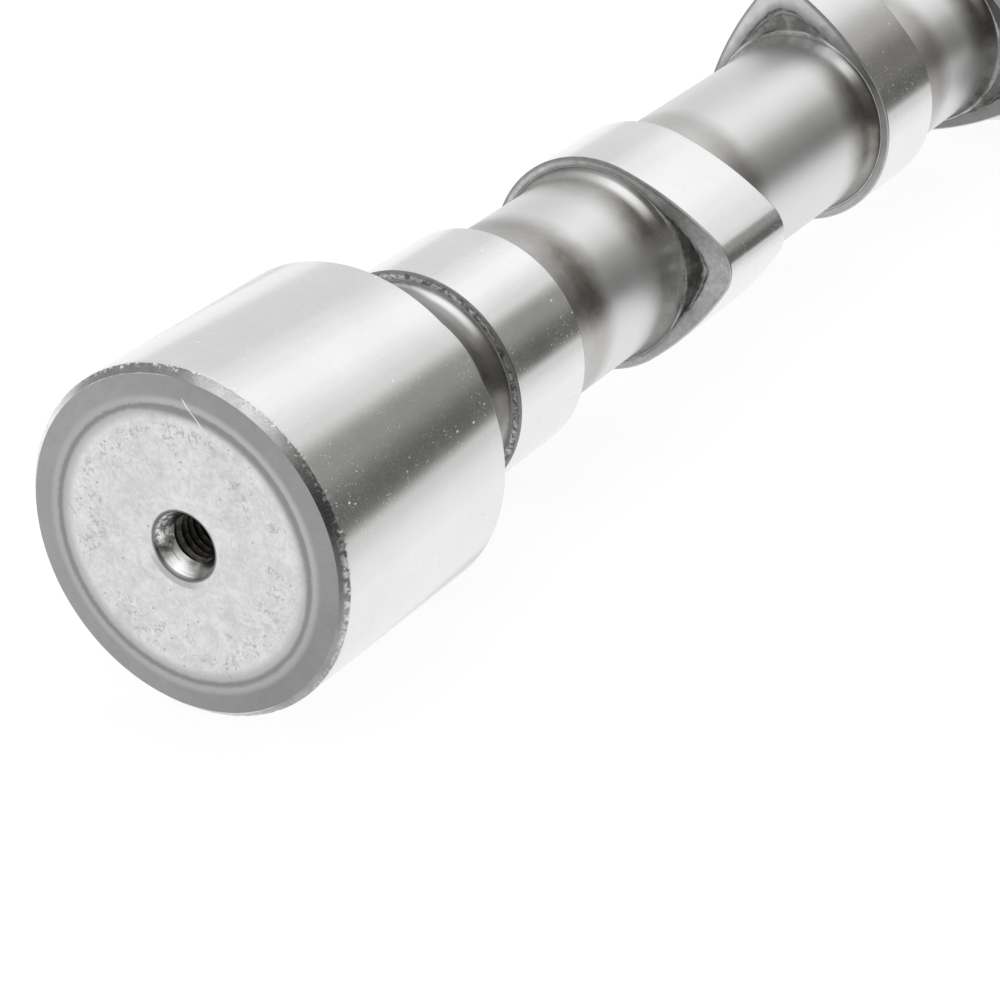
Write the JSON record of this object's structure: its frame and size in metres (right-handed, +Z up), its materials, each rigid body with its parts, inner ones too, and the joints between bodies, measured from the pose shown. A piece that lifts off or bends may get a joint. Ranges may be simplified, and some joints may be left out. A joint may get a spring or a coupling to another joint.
{
  "type": "camshaft",
  "caption": "Straight one-piece engine camshaft with round bearing journals, paired egg-shaped cam lobes, a plain rear end with a tapped centre and a keyed gear seat at the front.",
  "frame": {"origin": "on the shaft's axis, at the middle of the rear bearing journal's length", "axes": "+Y along the axis from the plain rear end to the gear end, +Z up, +X to the right when seen from the rear end"},
  "size_m": [0.05, 0.5872, 0.0498],
  "materials": {
    "camshaft": "ground and polished on journals and cams, satin forged between them"
  },
  "bodies": {
    "root": {"camshaft": "camshaft"}
  },
  "joints": []
}
